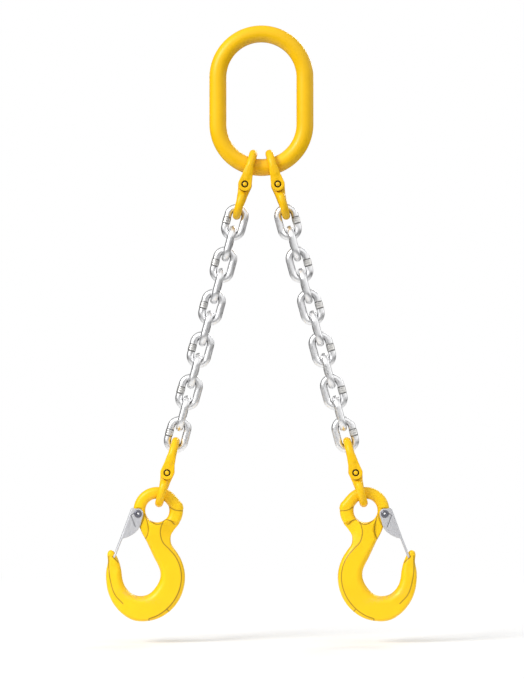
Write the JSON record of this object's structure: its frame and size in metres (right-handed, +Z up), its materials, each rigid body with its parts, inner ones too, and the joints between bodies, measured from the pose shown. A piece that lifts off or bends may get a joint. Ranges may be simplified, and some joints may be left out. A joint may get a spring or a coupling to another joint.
{
  "type": "two-leg chain sling",
  "caption": "Lifting sling: an oblong master link, two legs of short-link chain on coupling links, and a latched eye hook at the end of each leg.",
  "frame": {"origin": "crane-hook seat: the inside of the master link's top crown, on the sling's middle line", "axes": "+Z up against the load, X across the two legs, Y through the faces of the master link"},
  "size_m": [0.4216, 0.048, 0.8077],
  "materials": {
    "master_link_paint": "powder coat, satin gloss",
    "coupling_paint": "powder coat, satin gloss",
    "hook_paint": "powder coat, satin gloss",
    "chain_finish": "bright zinc, satin",
    "pin_steel": "coated with the coupling, satin",
    "latch_sheet": "zinc plated, satin",
    "latch_rivet": "plated, satin",
    "spring_wire": "drawn wire"
  },
  "bodies": {
    "master_link": {"master_link": "master_link_paint"},
    "left_upper_coupling_top": {"left_upper_coupling_top_half": "coupling_paint", "left_upper_coupling_pin": "pin_steel", "left_upper_coupling_sleeve": "pin_steel"},
    "left_upper_coupling_bottom": {"left_upper_coupling_bottom_half": "coupling_paint"},
    "left_link_01": {"left_chain_link_01": "chain_finish"},
    "left_link_02": {"left_chain_link_02": "chain_finish"},
    "left_link_03": {"left_chain_link_03": "chain_finish"},
    "left_link_04": {"left_chain_link_04": "chain_finish"},
    "left_link_05": {"left_chain_link_05": "chain_finish"},
    "left_link_06": {"left_chain_link_06": "chain_finish"},
    "left_link_07": {"left_chain_link_07": "chain_finish"},
    "left_link_08": {"left_chain_link_08": "chain_finish"},
    "left_link_09": {"left_chain_link_09": "chain_finish"},
    "left_link_10": {"left_chain_link_10": "chain_finish"},
    "left_link_11": {"left_chain_link_11": "chain_finish"},
    "left_lower_coupling_top": {"left_lower_coupling_top_half": "coupling_paint", "left_lower_coupling_pin": "pin_steel", "left_lower_coupling_sleeve": "pin_steel"},
    "left_lower_coupling_bottom": {"left_lower_coupling_bottom_half": "coupling_paint"},
    "left_hook": {"left_hook": "hook_paint", "left_latch_rivet": "latch_rivet", "left_latch_spring": "spring_wire"},
    "left_latch": {"left_latch": "latch_sheet"},
    "right_upper_coupling_top": {"right_upper_coupling_top_half": "coupling_paint", "right_upper_coupling_pin": "pin_steel", "right_upper_coupling_sleeve": "pin_steel"},
    "right_upper_coupling_bottom": {"right_upper_coupling_bottom_half": "coupling_paint"},
    "right_link_01": {"right_chain_link_01": "chain_finish"},
    "right_link_02": {"right_chain_link_02": "chain_finish"},
    "right_link_03": {"right_chain_link_03": "chain_finish"},
    "right_link_04": {"right_chain_link_04": "chain_finish"},
    "right_link_05": {"right_chain_link_05": "chain_finish"},
    "right_link_06": {"right_chain_link_06": "chain_finish"},
    "right_link_07": {"right_chain_link_07": "chain_finish"},
    "right_link_08": {"right_chain_link_08": "chain_finish"},
    "right_link_09": {"right_chain_link_09": "chain_finish"},
    "right_link_10": {"right_chain_link_10": "chain_finish"},
    "right_link_11": {"right_chain_link_11": "chain_finish"},
    "right_lower_coupling_top": {"right_lower_coupling_top_half": "coupling_paint", "right_lower_coupling_pin": "pin_steel", "right_lower_coupling_sleeve": "pin_steel"},
    "right_lower_coupling_bottom": {"right_lower_coupling_bottom_half": "coupling_paint"},
    "right_hook": {"right_hook": "hook_paint", "right_latch_rivet": "latch_rivet", "right_latch_spring": "spring_wire"},
    "right_latch": {"right_latch": "latch_sheet"}
  },
  "joints": [
    {"name": "left_upper_coupling_swing", "type": "hinge", "parent": "master_link", "child": "left_upper_coupling_top", "pos_m": [-0.01537, 0, -0.16746], "axis": [0.9655, 0, -0.2605], "range_deg": [-70, 70]},
    {"name": "left_upper_coupling_fold", "type": "hinge", "parent": "left_upper_coupling_top", "child": "left_upper_coupling_bottom", "pos_m": [-0.02222, 0, -0.19285], "axis": [0, 1, 0], "range_deg": [-10, 60]},
    {"name": "left_link_01_turn", "type": "hinge", "parent": "left_upper_coupling_bottom", "child": "left_link_01", "pos_m": [-0.03355, 0, -0.23485], "axis": [0, -1, 0], "range_deg": [-60, 14]},
    {"name": "left_link_02_turn", "type": "hinge", "parent": "left_link_01", "child": "left_link_02", "pos_m": [-0.04119, 0, -0.26314], "axis": [-0.9655, 0, 0.2605], "range_deg": [-70, 70]},
    {"name": "left_link_03_turn", "type": "hinge", "parent": "left_link_02", "child": "left_link_03", "pos_m": [-0.04895, 0, -0.29191], "axis": [0, 1, 0], "range_deg": [-20, 60]},
    {"name": "left_link_04_turn", "type": "hinge", "parent": "left_link_03", "child": "left_link_04", "pos_m": [-0.05671, 0, -0.32068], "axis": [0.9655, 0, -0.2605], "range_deg": [-70, 70]},
    {"name": "left_link_05_turn", "type": "hinge", "parent": "left_link_04", "child": "left_link_05", "pos_m": [-0.06447, 0, -0.34945], "axis": [0, -1, 0], "range_deg": [-60, 28]},
    {"name": "left_link_06_turn", "type": "hinge", "parent": "left_link_05", "child": "left_link_06", "pos_m": [-0.07224, 0, -0.37823], "axis": [-0.9655, 0, 0.2605], "range_deg": [-70, 70]},
    {"name": "left_link_07_turn", "type": "hinge", "parent": "left_link_06", "child": "left_link_07", "pos_m": [-0.08, 0, -0.407], "axis": [0, 1, 0], "range_deg": [-36, 60]},
    {"name": "left_link_08_turn", "type": "hinge", "parent": "left_link_07", "child": "left_link_08", "pos_m": [-0.08776, 0, -0.43577], "axis": [0.9655, 0, -0.2605], "range_deg": [-70, 70]},
    {"name": "left_link_09_turn", "type": "hinge", "parent": "left_link_08", "child": "left_link_09", "pos_m": [-0.09553, 0, -0.46454], "axis": [0, -1, 0], "range_deg": [-60, 45]},
    {"name": "left_link_10_turn", "type": "hinge", "parent": "left_link_09", "child": "left_link_10", "pos_m": [-0.10329, 0, -0.49331], "axis": [-0.9655, 0, 0.2605], "range_deg": [-70, 70]},
    {"name": "left_link_11_turn", "type": "hinge", "parent": "left_link_10", "child": "left_link_11", "pos_m": [-0.11105, 0, -0.52208], "axis": [0, 1, 0], "range_deg": [-55, 60]},
    {"name": "left_lower_coupling_swing", "type": "hinge", "parent": "left_link_11", "child": "left_lower_coupling_top", "pos_m": [-0.11882, 0, -0.55085], "axis": [0.9655, 0, -0.2605], "range_deg": [-70, 70]},
    {"name": "left_lower_coupling_fold", "type": "hinge", "parent": "left_lower_coupling_top", "child": "left_lower_coupling_bottom", "pos_m": [-0.12736, 0, -0.58252], "axis": [0, 1, 0], "range_deg": [-45, 60]},
    {"name": "left_hook_swing", "type": "hinge", "parent": "left_lower_coupling_bottom", "child": "left_hook", "pos_m": [-0.13869, 0, -0.62452], "axis": [0, -1, 0], "range_deg": [-60, 45]},
    {"name": "left_latch_turn", "type": "hinge", "parent": "left_hook", "child": "left_latch", "pos_m": [-0.16704, 0, -0.63862], "axis": [0, -1, 0], "range_deg": [0, 34], "stiffness_Nm_per_rad": 0.35, "springref_deg": -51.57, "deforming": ["left_latch_spring"]},
    {"name": "right_upper_coupling_swing", "type": "hinge", "parent": "master_link", "child": "right_upper_coupling_top", "pos_m": [0.01537, 0, -0.16746], "axis": [-0.9655, 0, -0.2605], "range_deg": [-70, 70]},
    {"name": "right_upper_coupling_fold", "type": "hinge", "parent": "right_upper_coupling_top", "child": "right_upper_coupling_bottom", "pos_m": [0.02222, 0, -0.19285], "axis": [0, -1, 0], "range_deg": [-10, 60]},
    {"name": "right_link_01_turn", "type": "hinge", "parent": "right_upper_coupling_bottom", "child": "right_link_01", "pos_m": [0.03355, 0, -0.23485], "axis": [0, 1, 0], "range_deg": [-60, 14]},
    {"name": "right_link_02_turn", "type": "hinge", "parent": "right_link_01", "child": "right_link_02", "pos_m": [0.04119, 0, -0.26314], "axis": [0.9655, 0, 0.2605], "range_deg": [-70, 70]},
    {"name": "right_link_03_turn", "type": "hinge", "parent": "right_link_02", "child": "right_link_03", "pos_m": [0.04895, 0, -0.29191], "axis": [0, -1, 0], "range_deg": [-20, 60]},
    {"name": "right_link_04_turn", "type": "hinge", "parent": "right_link_03", "child": "right_link_04", "pos_m": [0.05671, 0, -0.32068], "axis": [-0.9655, 0, -0.2605], "range_deg": [-70, 70]},
    {"name": "right_link_05_turn", "type": "hinge", "parent": "right_link_04", "child": "right_link_05", "pos_m": [0.06447, 0, -0.34945], "axis": [0, 1, 0], "range_deg": [-60, 28]},
    {"name": "right_link_06_turn", "type": "hinge", "parent": "right_link_05", "child": "right_link_06", "pos_m": [0.07224, 0, -0.37823], "axis": [0.9655, 0, 0.2605], "range_deg": [-70, 70]},
    {"name": "right_link_07_turn", "type": "hinge", "parent": "right_link_06", "child": "right_link_07", "pos_m": [0.08, 0, -0.407], "axis": [0, -1, 0], "range_deg": [-36, 60]},
    {"name": "right_link_08_turn", "type": "hinge", "parent": "right_link_07", "child": "right_link_08", "pos_m": [0.08776, 0, -0.43577], "axis": [-0.9655, 0, -0.2605], "range_deg": [-70, 70]},
    {"name": "right_link_09_turn", "type": "hinge", "parent": "right_link_08", "child": "right_link_09", "pos_m": [0.09553, 0, -0.46454], "axis": [0, 1, 0], "range_deg": [-60, 45]},
    {"name": "right_link_10_turn", "type": "hinge", "parent": "right_link_09", "child": "right_link_10", "pos_m": [0.10329, 0, -0.49331], "axis": [0.9655, 0, 0.2605], "range_deg": [-70, 70]},
    {"name": "right_link_11_turn", "type": "hinge", "parent": "right_link_10", "child": "right_link_11", "pos_m": [0.11105, 0, -0.52208], "axis": [0, -1, 0], "range_deg": [-55, 60]},
    {"name": "right_lower_coupling_swing", "type": "hinge", "parent": "right_link_11", "child": "right_lower_coupling_top", "pos_m": [0.11882, 0, -0.55085], "axis": [-0.9655, 0, -0.2605], "range_deg": [-70, 70]},
    {"name": "right_lower_coupling_fold", "type": "hinge", "parent": "right_lower_coupling_top", "child": "right_lower_coupling_bottom", "pos_m": [0.12736, 0, -0.58252], "axis": [0, -1, 0], "range_deg": [-45, 60]},
    {"name": "right_hook_swing", "type": "hinge", "parent": "right_lower_coupling_bottom", "child": "right_hook", "pos_m": [0.13869, 0, -0.62452], "axis": [0, 1, 0], "range_deg": [-60, 45]},
    {"name": "right_latch_turn", "type": "hinge", "parent": "right_hook", "child": "right_latch", "pos_m": [0.16704, 0, -0.63862], "axis": [0, 1, 0], "range_deg": [0, 34], "stiffness_Nm_per_rad": 0.35, "springref_deg": -51.57, "deforming": ["right_latch_spring"]}
  ]
}
